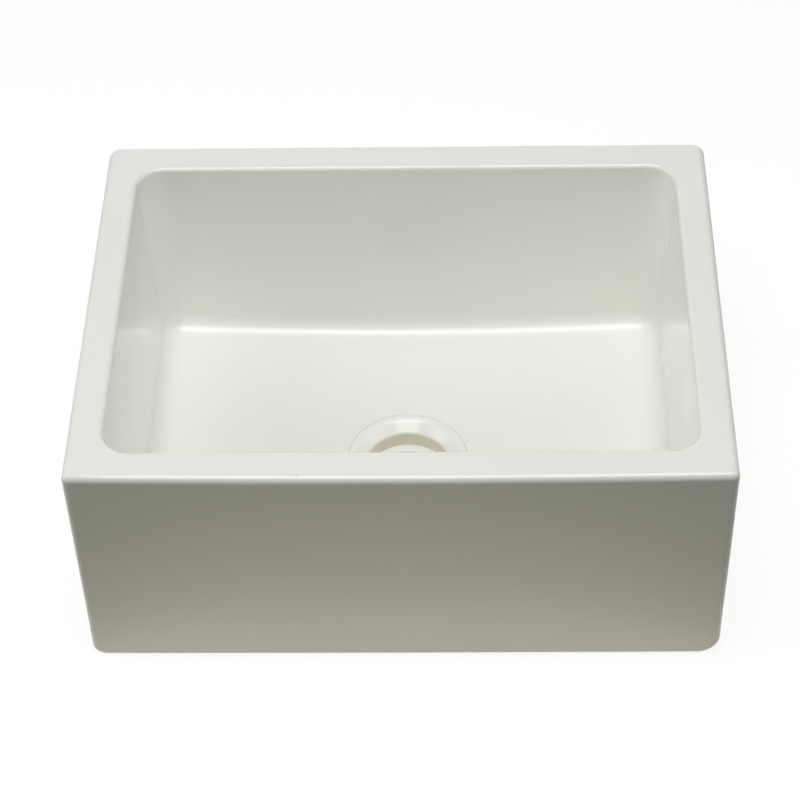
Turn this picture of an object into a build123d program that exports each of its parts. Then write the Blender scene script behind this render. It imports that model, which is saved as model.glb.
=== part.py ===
"""Farmhouse apron front sink with its basket strainer waste. Millimetres, +Z up.

The origin is the centre of the base plane, +X is to the right of someone who stands in front of
the apron, and +Y is towards the wall behind. The vessel is one fireclay casting. The waste hangs
on one vertical axis through its outlet, and its sections are drawn as (radius, height).
"""
from build123d import *
import math
import os

# ---- vessel: outside ----
width = 600.0  # across the rim
depth = 460.0  # from the ends of the apron to the back
height = 255.0  # from the base to the rim
apron_bow = 3.0  # how far the top of the apron stands out at its middle
base_bow = 0.5  # the same at the base
side_lean = 1.6  # how far each side leans in at the base
apron_lean = 6.0  # how far the apron leans back at the base
front_edge_radius = 7.0
back_edge_radius = 13.0
rim_edge_radius = 7.0
base_corner_left = 14.0  # the two lower corners of the apron aren't quite alike
base_corner_right = 22.0

# ---- vessel: bowl ----
rim_side = 32.8  # rim width beside the bowl
rim_front = 34.0
rim_back = 37.0
bowl_corner_radius = 26.0  # at the rim
bowl_foot_radius = 20.0  # the same corners, carried down to the base
draft_left = 3.0  # degrees; each wall leans out towards the rim
draft_right = 2.0
draft_front = 2.0
draft_back = 2.0
bowl_edge_radius = 5.0
floor_blend_radius = 18.0
floor_slope = 3.0  # degrees, down to the outlet
floor_height = 34.5  # above the base, where the floor meets the outlet recess

# ---- vessel: outlet ----
outlet_back = 3.0  # from the middle of the base to the outlet's axis
outlet_radius = 45.0
recess_edge_radius = 0.5
relief_radius = 68.0  # shallow recess under the base, round the washers
relief_depth = 4.0

# ---- strainer body ----
body_gap = 1.4  # from the outlet's wall to the body
body_wall = 1.4
lip_radius = 17.0  # roll of the flange down into the throat
flange_flat = 1.0
flange_set_down = 0.1  # below the bowl floor
flange_edge_gap = 0.3
ledge_depth = 26.0  # from the flange down to the basket's ledge
ledge_width = 3.3
cup_depth = 36.0  # from the ledge down to the body's floor
cup_shoulder = 8.0
cup_bottom = 1.8
neck_bore_radius = 19.0
neck_radius = 23.5
neck_length = 15.4
thread_pitch = 2.0
thread_depth = 0.7
thread_groove = 1.6  # width of one groove at the surface
thread_lead = 1.0  # plain length at each end of a thread

# ---- rings and nuts ----
fit_gap = 0.05  # radial, between a thread or shaft and what goes round it
seal_sweep = 55.0  # degrees of the flange's roll that the seal backs
ring_clearance = 0.4  # radial, inside the loose rings
rubber_thickness = 3.0  # less than the relief, so that it stays above the base plane
rubber_width = 13.0
friction_thickness = 1.5
friction_width = 12.0
nut_height = 12.0
nut_width = 9.5
nut_lugs = 8
lug_reach = 4.0
lug_width = 12.0

# ---- basket ----
basket_side_gap = 0.4  # radial, in the throat
basket_sheet = 1.2
basket_rim_width = 9.0
basket_taper = 5.0
basket_slots = 20
slot_width = 2.6
basket_edge_band = 2.5  # solid band above and below the slots
bottom_hole_radius = 1.7
inner_holes_gap = 5.6  # from the bush to the inner ring of holes
outer_holes_gap = 4.7  # from the basket's foot in to the outer ring
bottom_holes_inner = 8
bottom_holes_outer = 16

# ---- plunger ----
plunger_travel = 6.0
stop_gap = 0.5  # left above the stopper when the plunger is up
stem_radius = 4.0
bush_wall = 3.0
bush_flange = 2.0
bush_head = 2.0
knob_radius = 9.0
knob_height = 10.0
knob_socket = 6.0
knob_crown_radius = 4.0
knob_base_radius = 1.5
knob_set_down = 9.4  # from the flange down to the knob's top
detent_depth = 0.5
detent_width = 1.5
stopper_thickness = 4.5
stopper_overlap = 6.0  # of the rubber beyond the neck's bore
stopper_plate_radius = 16.0
stopper_plate_thickness = 1.0
screw_radius = 2.0
screw_head_radius = 4.5
screw_head_height = 2.5
screw_head_round = 1.5
screw_grip = 10.0  # length inside the stem

# ---- tailpiece ----
tail_radius = 19.05
tail_wall = 1.0
tail_length = 101.6
tail_flange_thickness = 1.2
tail_collar = 0.25  # the tube stands out this much where the coupling nut holds it
tail_washer_thickness = 1.5
coupling_engagement = 11.0  # length of neck inside the coupling nut
coupling_lip = 2.5
coupling_width = 5.0
coupling_chamfer = 0.8

# ---- heights and radii that follow ----
front = -depth / 2
back = depth / 2
half_width = width / 2
throat_outer = outlet_radius - body_gap
throat_inner = throat_outer - body_wall
lip_centre_r = throat_inner + lip_radius
flange_top = floor_height - flange_set_down
lip_centre_z = flange_top - lip_radius
flange_radius = lip_centre_r + flange_flat
flange_under = lip_centre_z + lip_radius - body_wall
recess_radius = flange_radius + flange_edge_gap
seat_roll = lip_centre_r - outlet_radius
seat_z = lip_centre_z + seat_roll

ledge_z = flange_top - ledge_depth
cup_radius = throat_inner - ledge_width
body_floor = ledge_z - cup_depth
neck_end = body_floor - cup_bottom - neck_length

rubber_under = relief_depth - rubber_thickness
friction_under = rubber_under - friction_thickness
nut_under = friction_under - nut_height
ring_bore = throat_outer + ring_clearance

stopper_radius = neck_bore_radius + stopper_overlap
stopper_top = body_floor + stopper_thickness
plate_top = stopper_top + stopper_plate_thickness
basket_under = plate_top + plunger_travel + stop_gap
basket_radius = throat_inner - basket_side_gap
basket_mouth = basket_radius - basket_rim_width
basket_foot = basket_mouth - basket_taper
bush_radius = stem_radius + bush_wall
knob_top = flange_top - knob_set_down
knob_under = knob_top - knob_height
stem_top = knob_under + knob_socket

washer_under = neck_end - tail_washer_thickness
tail_flange_under = washer_under - tail_flange_thickness
coupling_under = tail_flange_under - coupling_lip
coupling_top = neck_end + coupling_engagement
tail_end = washer_under - tail_length

outlet_axis = Location((0, outlet_back, 0))
cut_past = 1.0  # how far a cut runs past the face that it opens
near = 0.01  # lengths closer than this are the same


# ---- helpers ----
def turned(section):
    """Turn a section, drawn in the XZ plane as (radius, height), about the outlet's axis."""
    return outlet_axis * revolve(section, Axis.Z)


def polygon_section(*points):
    """A filled section with straight sides."""
    outline = Polyline(*[(r, 0, z) for r, z in points], close=True)
    return make_face(outline)


def ring(inner, outer, low, high):
    """A plain ring about the outlet's axis."""
    return turned(polygon_section((inner, low), (outer, low), (outer, high), (inner, high)))


def disc(radius, low, high):
    """A plain disc about the outlet's axis."""
    return outlet_axis * Pos(0, 0, low) * extrude(Circle(radius), high - low)


def line(start, end):
    """A straight side of a section."""
    return Line((start[0], 0, start[1]), (end[0], 0, end[1]))


def roll(radius, start, end):
    """An arc of the flange's roll, between two angles in degrees about its centre."""
    angles = (start, (start + end) / 2, end)
    points = [
        (
            lip_centre_r + radius * math.cos(math.radians(a)),
            0,
            lip_centre_z + radius * math.sin(math.radians(a)),
        )
        for a in angles
    ]
    return ThreePointArc(*points)


def around(shape, count, first=0.0):
    """Copies of a shape drawn on the +X side of the outlet's axis, spaced evenly round it."""
    steps = [first + 360.0 * n / count for n in range(count)]
    return [outlet_axis * Rot(0, 0, step) * shape for step in steps]


def thread_grooves(radius, low, high):
    """V grooves that stand for a thread on the outside of a shaft."""
    grooves = []
    for n in range(int((high - low) / thread_pitch)):
        middle = low + (n + 0.5) * thread_pitch
        tip = (radius - thread_depth, middle)
        mouth = radius + thread_depth
        section = polygon_section(tip, (mouth, middle - thread_groove), (mouth, middle + thread_groove))
        grooves.append(turned(section))
    return grooves


# ---- vessel ----
def plan(z, half, front_y, bow):
    """The vessel's outline at one height: three straight sides and an apron that bows out."""
    left_front = (-half, front_y, z)
    right_front = (half, front_y, z)
    left_back = (-half, back, z)
    right_back = (half, back, z)
    apron = ThreePointArc(left_front, (0, front_y - bow, z), right_front)
    sides = Polyline(right_front, right_back, left_back, left_front)
    return make_face(apron + sides)


def vessel_block():
    """The outside of the vessel, with its edges rounded."""
    top = plan(height, half_width, front, apron_bow)
    base = plan(0, half_width - side_lean, front + apron_lean, base_bow)
    block = loft([base, top], ruled=True)
    sole = block.edges().group_by(Axis.Z)[0]
    by_x = sole.sort_by(Axis.X)
    block = fillet(by_x[0], base_corner_left)
    by_x = block.edges().group_by(Axis.Z)[0].sort_by(Axis.X)
    block = fillet(by_x[-1], base_corner_right)
    apron = block.faces().sort_by(Axis.Y)[0]
    block = fillet(below_rim(apron), front_edge_radius)
    rear = block.faces().sort_by(Axis.Y)[-1]
    block = fillet(below_rim(rear), back_edge_radius)
    rim = block.faces().sort_by(Axis.Z)[-1]
    return fillet(rim.edges(), rim_edge_radius)


def below_rim(face):
    """The edges of an upright face, apart from the one on the rim."""
    return [e for e in face.edges() if e.center().Z < height - rim_edge_radius]


def bowl_outline(z, radius):
    """The bowl's outline at one height, with each wall drawn in by its own draft."""
    drop = height - z
    left = -half_width + rim_side + drop * math.tan(math.radians(draft_left))
    right = half_width - rim_side - drop * math.tan(math.radians(draft_right))
    nearest = front + rim_front + drop * math.tan(math.radians(draft_front))
    furthest = back - rim_back - drop * math.tan(math.radians(draft_back))
    centre = Pos((left + right) / 2, (nearest + furthest) / 2, z)
    return centre * RectangleRounded(right - left, furthest - nearest, radius)


def bowl_space():
    """The hollow of the bowl: drafted walls over a floor that falls to the outlet."""
    foot = bowl_outline(0, bowl_foot_radius)
    mouth = bowl_outline(height, bowl_corner_radius)
    space = loft([foot.face(), mouth.face()], ruled=True)
    fall = math.tan(math.radians(floor_slope))
    reach = width
    centre_height = floor_height - fall * recess_radius
    edge_height = centre_height + fall * reach
    below = polygon_section((0, -cut_past), (reach, -cut_past), (reach, edge_height), (0, centre_height))
    space = space - turned(below)
    floor = space.faces().filter_by(GeomType.CONE).sort_by(Axis.Z)[0]
    return fillet(floor.edges(), floor_blend_radius)


def outlet_cut():
    """The recess for the flange, its rolled seat and the hole down to the base."""
    top = floor_height + recess_edge_radius + cut_past
    section = make_face(
        line((0, top), (recess_radius, top))
        + line((recess_radius, top), (recess_radius, seat_z))
        + line((recess_radius, seat_z), (lip_centre_r, seat_z))
        + roll(seat_roll, 90, 180)
        + line((outlet_radius, lip_centre_z), (outlet_radius, -cut_past))
        + line((outlet_radius, -cut_past), (0, -cut_past))
        + line((0, -cut_past), (0, top))
    )
    return turned(section)


def sink_vessel():
    vessel = vessel_block() - bowl_space()
    rim = vessel.faces().sort_by(Axis.Z)[-1]
    vessel = fillet(rim.inner_wires()[0].edges(), bowl_edge_radius)
    vessel = vessel - outlet_cut()
    brink = [
        e
        for e in vessel.edges().filter_by(GeomType.CIRCLE)
        if abs(e.radius - recess_radius) < near and e.center().Z > seat_z + near
    ]
    vessel = fillet(brink, recess_edge_radius)
    return vessel - disc(relief_radius, -cut_past, relief_depth)


# ---- waste: fixed pieces ----
def strainer_body():
    chamfer_z = body_floor + cup_shoulder
    cup_foot = cup_radius - cup_shoulder
    outer_foot = throat_outer - cup_shoulder - cup_bottom
    floor_under = body_floor - cup_bottom
    section = make_face(
        line((flange_radius, flange_under), (flange_radius, flange_top))
        + line((flange_radius, flange_top), (lip_centre_r, flange_top))
        + roll(lip_radius, 90, 180)
        + line((throat_inner, lip_centre_z), (throat_inner, ledge_z))
        + line((throat_inner, ledge_z), (cup_radius, ledge_z))
        + line((cup_radius, ledge_z), (cup_radius, chamfer_z))
        + line((cup_radius, chamfer_z), (cup_foot, body_floor))
        + line((cup_foot, body_floor), (neck_bore_radius, body_floor))
        + line((neck_bore_radius, body_floor), (neck_bore_radius, neck_end))
        + line((neck_bore_radius, neck_end), (neck_radius, neck_end))
        + line((neck_radius, neck_end), (neck_radius, floor_under))
        + line((neck_radius, floor_under), (outer_foot, floor_under))
        + line((outer_foot, floor_under), (throat_outer, chamfer_z))
        + line((throat_outer, chamfer_z), (throat_outer, lip_centre_z))
        + roll(lip_radius - body_wall, 180, 90)
        + line((lip_centre_r, flange_under), (flange_radius, flange_under))
    )
    body = turned(section)
    for groove in thread_grooves(throat_outer, chamfer_z + thread_lead, relief_depth + thread_lead):
        body = body - groove
    for groove in thread_grooves(neck_radius, neck_end + thread_lead, floor_under - thread_lead):
        body = body - groove
    return body


def flange_seal():
    inner = seat_roll + fit_gap
    outer = lip_radius - body_wall - fit_gap
    last = 90 + seal_sweep
    cosine = math.cos(math.radians(last))
    sine = math.sin(math.radians(last))
    tip_in = (lip_centre_r + inner * cosine, lip_centre_z + inner * sine)
    tip_out = (lip_centre_r + outer * cosine, lip_centre_z + outer * sine)
    low, high = lip_centre_z + inner, lip_centre_z + outer
    section = make_face(
        roll(inner, last, 90)
        + line((lip_centre_r, low), (flange_radius, low))
        + line((flange_radius, low), (flange_radius, high))
        + line((flange_radius, high), (lip_centre_r, high))
        + roll(outer, 90, last)
        + line(tip_out, tip_in)
    )
    return turned(section)


def rubber_washer():
    return ring(ring_bore, ring_bore + rubber_width, rubber_under, relief_depth)


def friction_ring():
    return ring(ring_bore, ring_bore + friction_width, friction_under, rubber_under)


def lock_nut():
    bore = throat_outer + fit_gap
    outer = bore + nut_width
    nut = ring(bore, outer, nut_under, friction_under)
    reach = nut_width / 2 + lug_reach
    lug = Pos(outer - nut_width / 2 + reach / 2, 0, (nut_under + friction_under) / 2)
    lug = lug * Box(reach, lug_width, nut_height)
    for one in around(lug, nut_lugs):
        nut = nut + one
    return nut


def tailpiece_washer():
    return ring(tail_radius + tail_collar, neck_radius, washer_under, neck_end)


def tailpiece():
    bore = tail_radius - tail_wall
    collar = tail_radius + tail_collar
    section = polygon_section(
        (bore, tail_end),
        (tail_radius, tail_end),
        (tail_radius, coupling_under),
        (collar, coupling_under),
        (collar, tail_flange_under),
        (neck_radius, tail_flange_under),
        (neck_radius, washer_under),
        (bore, washer_under),
    )
    return turned(section)


def coupling_nut():
    bore = neck_radius + fit_gap
    hexagon = RegularPolygon(bore + coupling_width, 6, major_radius=False)
    body = outlet_axis * Pos(0, 0, coupling_under) * extrude(hexagon, coupling_top - coupling_under)
    top_edge = body.faces().sort_by(Axis.Z)[-1].edges()
    body = chamfer(top_edge, coupling_chamfer)
    body = body - disc(bore, tail_flange_under, coupling_top + cut_past)
    mouth = tail_radius + tail_collar + fit_gap
    return body - disc(mouth, coupling_under - cut_past, tail_flange_under + cut_past)


# ---- waste: basket ----
def basket_cup():
    rim_top = ledge_z + basket_sheet
    bottom_top = basket_under + basket_sheet
    bush_bore = bush_radius + fit_gap
    cup = turned(
        polygon_section(
            (basket_radius, ledge_z),
            (basket_radius, rim_top),
            (basket_mouth, rim_top),
            (basket_foot, bottom_top),
            (bush_bore, bottom_top),
            (bush_bore, basket_under),
            (basket_foot + basket_sheet, basket_under),
            (basket_mouth + basket_sheet, ledge_z),
        )
    )
    slot_low = bottom_top + basket_edge_band
    slot_high = ledge_z - basket_edge_band
    slot = Pos((basket_foot + basket_mouth) / 2, 0, (slot_low + slot_high) / 2)
    slot = slot * Box(2 * (basket_taper + basket_sheet + cut_past), slot_width, slot_high - slot_low)
    cup = cup - around(slot, basket_slots)
    hole = Cylinder(bottom_hole_radius, 2 * (basket_sheet + cut_past))
    inner_ring = bush_radius + bush_flange + inner_holes_gap
    outer_ring = basket_foot - outer_holes_gap
    cup = cup - around(Pos(inner_ring, 0, basket_under) * hole, bottom_holes_inner)
    return cup - around(Pos(outer_ring, 0, basket_under) * hole, bottom_holes_outer)


def stem_bush():
    bore = stem_radius + fit_gap
    bottom_top = basket_under + basket_sheet
    section = polygon_section(
        (bore, basket_under),
        (bush_radius, basket_under),
        (bush_radius, bottom_top),
        (bush_radius + bush_flange, bottom_top),
        (bush_radius + bush_flange, bottom_top + bush_head),
        (bore, bottom_top + bush_head),
    )
    return turned(section)


# ---- waste: plunger ----
def plunger_stem():
    stem = disc(stem_radius, plate_top, stem_top)
    stem = stem - disc(screw_radius + fit_gap, plate_top - cut_past, plate_top + screw_grip + fit_gap)
    guide = basket_under + basket_sheet + bush_head / 2
    for lift in (0, plunger_travel):
        middle = guide - lift
        if middle - detent_width > plate_top:
            low, high = middle - detent_width / 2, middle + detent_width / 2
            stem = stem - ring(stem_radius - detent_depth, stem_radius + cut_past, low, high)
    return stem


def plunger_knob():
    knob = disc(knob_radius, knob_under, knob_top)
    knob = fillet(knob.edges().sort_by(Axis.Z)[-1], knob_crown_radius)
    knob = fillet(knob.edges().sort_by(Axis.Z)[0], knob_base_radius)
    return knob - disc(stem_radius + fit_gap, knob_under - cut_past, stem_top)


def stopper_plate():
    return ring(screw_radius + fit_gap, stopper_plate_radius, stopper_top, plate_top)


def stopper_seal():
    return ring(screw_radius + fit_gap, stopper_radius, body_floor, stopper_top)


def stopper_screw():
    head = disc(screw_head_radius, body_floor - screw_head_height, body_floor)
    head = fillet(head.edges().sort_by(Axis.Z)[0], screw_head_round)
    return head + disc(screw_radius, body_floor, plate_top + screw_grip)


pieces = {
    "sink_vessel": sink_vessel,
    "strainer_body": strainer_body,
    "flange_seal": flange_seal,
    "rubber_washer": rubber_washer,
    "friction_ring": friction_ring,
    "lock_nut": lock_nut,
    "tailpiece_washer": tailpiece_washer,
    "tailpiece": tailpiece,
    "coupling_nut": coupling_nut,
    "basket_cup": basket_cup,
    "stem_bush": stem_bush,
    "plunger_stem": plunger_stem,
    "plunger_knob": plunger_knob,
    "stopper_plate": stopper_plate,
    "stopper_seal": stopper_seal,
    "stopper_screw": stopper_screw,
}

os.makedirs("parts", exist_ok=True)
for name, make in pieces.items():
    export_step(make(), f"parts/{name}.step")
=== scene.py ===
"""Looks of the farmhouse apron front sink: glazed fireclay vessel, white strainer, metal waste."""

import math

import bmesh
import bpy
import numpy as np
from mathutils import Matrix, Vector


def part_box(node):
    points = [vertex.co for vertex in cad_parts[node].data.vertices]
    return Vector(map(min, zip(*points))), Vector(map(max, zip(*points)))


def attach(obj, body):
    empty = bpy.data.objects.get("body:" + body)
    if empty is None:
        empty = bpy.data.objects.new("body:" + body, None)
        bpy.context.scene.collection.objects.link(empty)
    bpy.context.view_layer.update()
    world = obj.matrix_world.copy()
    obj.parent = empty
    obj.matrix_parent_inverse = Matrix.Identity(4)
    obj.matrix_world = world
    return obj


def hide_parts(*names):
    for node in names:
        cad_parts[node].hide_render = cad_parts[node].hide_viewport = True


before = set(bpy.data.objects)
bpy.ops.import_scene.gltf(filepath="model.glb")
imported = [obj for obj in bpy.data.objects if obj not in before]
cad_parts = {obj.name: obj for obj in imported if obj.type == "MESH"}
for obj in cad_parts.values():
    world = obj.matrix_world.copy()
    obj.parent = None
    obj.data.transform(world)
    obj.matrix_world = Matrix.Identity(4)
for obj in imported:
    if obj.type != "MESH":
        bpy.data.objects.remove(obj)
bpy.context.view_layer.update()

MM = 0.001
TAU = 2 * math.pi

# ---- places and sizes read from the frame, in millimetres ----


def node_box(name):
    """The lowest and highest corner of a CAD node, in millimetres."""
    low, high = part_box(name)
    return np.array(low) / MM, np.array(high) / MM


def reach(name):
    """The largest radius of a piece that is turned about the outlet's axis."""
    low, high = node_box(name)
    return (high[0] - low[0]) / 2


def heights(name):
    """The lowest and highest level of a CAD node."""
    low, high = node_box(name)
    return low[2], high[2]


flange_low, flange_high = node_box("strainer_body")
AXIS_Y = (flange_low[1] + flange_high[1]) / 2
FLANGE_R = reach("strainer_body")
NECK_END, FLANGE_TOP = heights("strainer_body")
RIM_Z = heights("sink_vessel")[1]

# ---- vessel: the casting's own sizes ----
HALF_WIDTH = 300.0
FRONT_Y = -230.0
BACK_Y = 230.0
APRON_BOW = 3.0
BASE_BOW = 0.5
SIDE_LEAN = 1.6
APRON_LEAN = 6.0
FRONT_EDGE = 7.0
BACK_EDGE = 13.0
RIM_EDGE = 7.0
BASE_CORNER_LEFT = 14.0
BASE_CORNER_RIGHT = 22.0
BOWL_LEFT = -267.2
BOWL_RIGHT = 267.2
BOWL_FRONT = -196.0
BOWL_BACK = 193.0
DRAFT_LEFT = math.radians(3.0)
DRAFT_RIGHT = math.radians(2.0)
DRAFT_FRONT = math.radians(2.0)
DRAFT_BACK = math.radians(2.0)
MOUTH_CORNER = 26.0
FOOT_CORNER = 20.0
BOWL_EDGE = 5.0
FLOOR_BLEND = 18.0
FLOOR_FALL = math.radians(3.0)
FLOOR_Z = 34.5
LIP_ROLL = 17.0
LIP_TOP_ROLL = 14.0
LIP_SLOPE = math.radians(37)
LIP_FOOT_ROLL = 4.0
SHEET = 1.4
FLANGE_FLAT = 1.0
EDGE_GAP = 0.3
RECESS_EDGE = 0.5
OUTLET_R = 45.0
RELIEF_R = 68.0
RELIEF_DEPTH = 4.0
RELIEF_EDGE = 0.4
LIP_CENTRE_R = FLANGE_R - FLANGE_FLAT
LIP_CENTRE_Z = FLANGE_TOP - LIP_ROLL
RECESS_R = FLANGE_R + EDGE_GAP
SEAT_ROLL = LIP_CENTRE_R - OUTLET_R
SEAT_Z = LIP_CENTRE_Z + SEAT_ROLL

# ---- waste: sizes that the nodes' boxes don't give ----
BODY_GAP = 1.4
THROAT_OUTER = OUTLET_R - BODY_GAP
THROAT_INNER = THROAT_OUTER - SHEET
LEDGE_Z = FLANGE_TOP - 26.0
LEDGE_WIDTH = 3.3
CUP_SHOULDER = 8.0
CUP_BOTTOM = 1.8
CUP_R = THROAT_INNER - LEDGE_WIDTH
BODY_FLOOR = heights("stopper_seal")[0]
NECK_BORE = 19.0
NECK_R = reach("tailpiece_washer")
THREAD_PITCH = 2.0
THREAD_DEPTH = 0.7
FIT_GAP = 0.05
FILLED_GAP = 0.02
SQUEEZE_DOWN = 0.35
SEAL_END = math.radians(145)
RING_GAP = 0.4
NUT_BODY_R = THROAT_OUTER + FIT_GAP + 9.5
NUT_LUGS = 8
LUG_HALF_ANGLE = math.radians(6.3)
LUG_RAMP = math.radians(0.45)
LUG_STEPS = (0, 2, 4, 5, 5.6, 5.85, 6.0, 6.15, 6.3, 6.45, 6.6, 6.75, 7.0, 7.6, 9, 12, 15, 18, 21)
TAIL_R = 19.05
TAIL_WALL = 1.0
TAIL_COLLAR = 0.25
COUPLING_LIP = 2.5
NUT_CORNER_OFF = 0.5
NUT_CONE_OFF = 0.2
NUT_CONE_SLOPE = 1.7
NUT_CONE_HEIGHT = 2.2
NUT_CONE_FROM = 1.2
NUT_CONE_TO = 2.6
NUT_CONE_STEPS = 6
NUT_SIDE_LEAST = 5.0
BASKET_SHEET = 1.2
BASKET_RIM = 9.0
BASKET_TAPER = 5.0
BASKET_SLOTS = 20
SLOT_WIDTH = 2.6
SLOT_BAND = 2.5
HOLE_R = 1.7
INNER_HOLES = (8, 14.6)
OUTER_HOLES = (16, 23.1)
STEM_R = 4.0
BUSH_R = 7.0
BUSH_FLANGE = 2.0
BUSH_HEAD = 2.0
STEM_TOP = heights("plunger_stem")[1]
PLUNGER_TRAVEL = 6.0
DETENT_DEPTH = 0.5
DETENT_WIDTH = 1.5
SCREW_R = 2.0
SCREW_HEAD = 2.5
DRIVE_SLOT = (1.1, 1.2)
CRISP_ANGLE = math.radians(40)

# ---- finishes: where the bare clay and the throat's painted shade end, and the waves of the fired clay ----
CLAY_TOP = 1.2
PAINTED_SHADE_TOP = 24.0
PAINTED_SHADE_FOOT = 10.0
RIPPLE_SEED = 4
RIPPLE_LENGTHS = (310.0, 240.0, 170.0, 120.0, 95.0, 70.0)
RIPPLE_HEIGHT = 0.12
RIPPLE_FADE = 40.0


# ---- mesh helpers ----
def link_new(name, data):
    """A new object of the scene that holds this mesh, lens or lamp."""
    made = bpy.data.objects.new(name, data)
    bpy.context.scene.collection.objects.link(made)
    return made


def mesh_piece(name, points, faces):
    """A smooth mesh object at the origin from points in millimetres."""
    mesh = bpy.data.meshes.new(name)
    mesh.from_pydata([tuple(p) for p in np.asarray(points) * MM], [], faces)
    work = bmesh.new()
    work.from_mesh(mesh)
    bmesh.ops.remove_doubles(work, verts=work.verts, dist=1e-7)
    bmesh.ops.dissolve_degenerate(work, edges=work.edges, dist=1e-7)
    bmesh.ops.recalc_face_normals(work, faces=work.faces)
    for face in work.faces:
        face.smooth = True
    work.to_mesh(mesh)
    work.free()
    return link_new(name, mesh)


def loop_faces(count, rings):
    """Quads between rings of count points each; the last ring joins the first."""
    faces = []
    for k in range(rings):
        here = k * count
        there = ((k + 1) % rings) * count
        for i in range(count):
            j = (i + 1) % count
            faces.append((here + i, here + j, there + j, there + i))
    return faces


# ---- vessel: rings of points in plan, from the same start and in the same order ----
CORNER_POINTS = 14
LONG_POINTS = 60
SHORT_POINTS = 46
FOOT_RINGS = 27
WALL_RINGS = 20
RIM_RINGS = 5
ROLL_RINGS = 9
FACE_RINGS = 22
BLEND_RINGS = 13
EDGE_RINGS = 7
SEAT_RINGS = 11
BASE_RINGS = 8
CRISP_SIDE = 0.004
CRISP_WALL = 0.01
LEAST_ROLL = 0.4
APRON_FROM = 0.8


def side_fractions(count):
    """Places along a side, with one point close to each end so that the edge stays crisp."""
    inner = np.linspace(0, 1, count + 1)[1:-1]
    return np.concatenate([[CRISP_SIDE], inner, [1 - CRISP_SIDE]])


def plan_ring(corner_curves):
    """One ring from four corner curves, counterclockwise from the front left corner."""
    points = []
    counts = (LONG_POINTS, SHORT_POINTS, LONG_POINTS, SHORT_POINTS)
    for k, curve in enumerate(corner_curves):
        following = corner_curves[(k + 1) % 4]
        points.append(curve)
        steps = side_fractions(counts[k])[:, None]
        points.append(curve[-1] + (following[0] - curve[-1]) * steps)
    return np.concatenate(points)


def corner_directions():
    """Outward directions round the four corners, counterclockwise from the front left one."""
    swing = np.linspace(0, math.pi / 2, CORNER_POINTS)
    starts = (math.pi, 1.5 * math.pi, 0.0, 0.5 * math.pi)
    return [np.stack([np.cos(start + swing), np.sin(start + swing)], 1) for start in starts]


def rounded_outline(left, right, front, back, radius):
    """A rounded rectangle in plan."""
    centres = (
        (left + radius, front + radius),
        (right - radius, front + radius),
        (right - radius, back - radius),
        (left + radius, back - radius),
    )
    return plan_ring([centre + radius * curve for centre, curve in zip(centres, corner_directions())])


def shell_corner(side_radius, edge_radius, z, inset):
    """Insets (from the side, from the face) round one upright corner of the shell at height z.

    Below side_radius the corner also rolls under the base, on the torus that the edge's rounding makes.
    """
    low = max(side_radius - z, 0.0)
    roll = max(edge_radius - inset, LEAST_ROLL)
    start = side_radius - edge_radius
    furthest = min(max((low - start) / edge_radius, 0.0), 1.0)
    swing = np.linspace(0, math.acos(furthest), CORNER_POINTS)
    if low == 0.0:
        return inset + roll - roll * np.cos(swing), inset + roll - roll * np.sin(swing)
    out = start + edge_radius * np.cos(swing)
    side = side_radius - np.sqrt(np.maximum(out**2 - low**2, 0.0))
    return side, edge_radius - edge_radius * np.sin(swing)


def shell_ring(z, inset=0.0):
    """The outside of the vessel at height z, moved in by inset on the rolled rim edge."""
    rise = z / RIM_Z
    left = -HALF_WIDTH + SIDE_LEAN * (1 - rise)
    right = HALF_WIDTH - SIDE_LEAN * (1 - rise)
    front = FRONT_Y + APRON_LEAN * (1 - rise)
    bow = BASE_BOW + (APRON_BOW - BASE_BOW) * rise
    front_left = shell_corner(BASE_CORNER_LEFT, FRONT_EDGE, z, inset)
    front_right = shell_corner(BASE_CORNER_RIGHT, FRONT_EDGE, z, inset)
    back_right = shell_corner(BASE_CORNER_RIGHT, BACK_EDGE, z, inset)
    back_left = shell_corner(BASE_CORNER_LEFT, BACK_EDGE, z, inset)
    curves = [
        np.stack([left + front_left[0], front + front_left[1]], 1),
        np.stack([right - front_right[0], front + front_right[1]], 1)[::-1],
        np.stack([right - back_right[0], BACK_Y - back_right[1]], 1),
        np.stack([left + back_left[0], BACK_Y - back_left[1]], 1)[::-1],
    ]
    ring = plan_ring(curves)
    across = np.clip(1 - (ring[:, 0] / HALF_WIDTH) ** 2, 0, 1)
    near_front = np.clip((AXIS_Y - ring[:, 1]) / (AXIS_Y - FRONT_Y), 0, 1)
    ring[:, 1] -= bow * across * (near_front > APRON_FROM)
    return np.column_stack([ring, np.full(len(ring), float(z))])


def bowl_outline(drop, radius):
    """The bowl's outline at a depth below the rim, with each wall drawn in by its own draft."""
    return rounded_outline(
        BOWL_LEFT + drop * math.tan(DRAFT_LEFT),
        BOWL_RIGHT - drop * math.tan(DRAFT_RIGHT),
        BOWL_FRONT + drop * math.tan(DRAFT_FRONT),
        BOWL_BACK - drop * math.tan(DRAFT_BACK),
        radius,
    )


def floor_height(points):
    """The height of the falling floor under points given in plan."""
    away = np.hypot(points[:, 0], points[:, 1] - AXIS_Y)
    return FLOOR_Z + math.tan(FLOOR_FALL) * (away - RECESS_R)


def ease(count):
    """Fractions from 0 to 1 with short first and last steps, for clean edges beside roundings."""
    return np.concatenate([[0.0, CRISP_WALL], np.linspace(0, 1, count + 1)[1:-1], [1 - CRISP_WALL, 1.0]])


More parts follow.
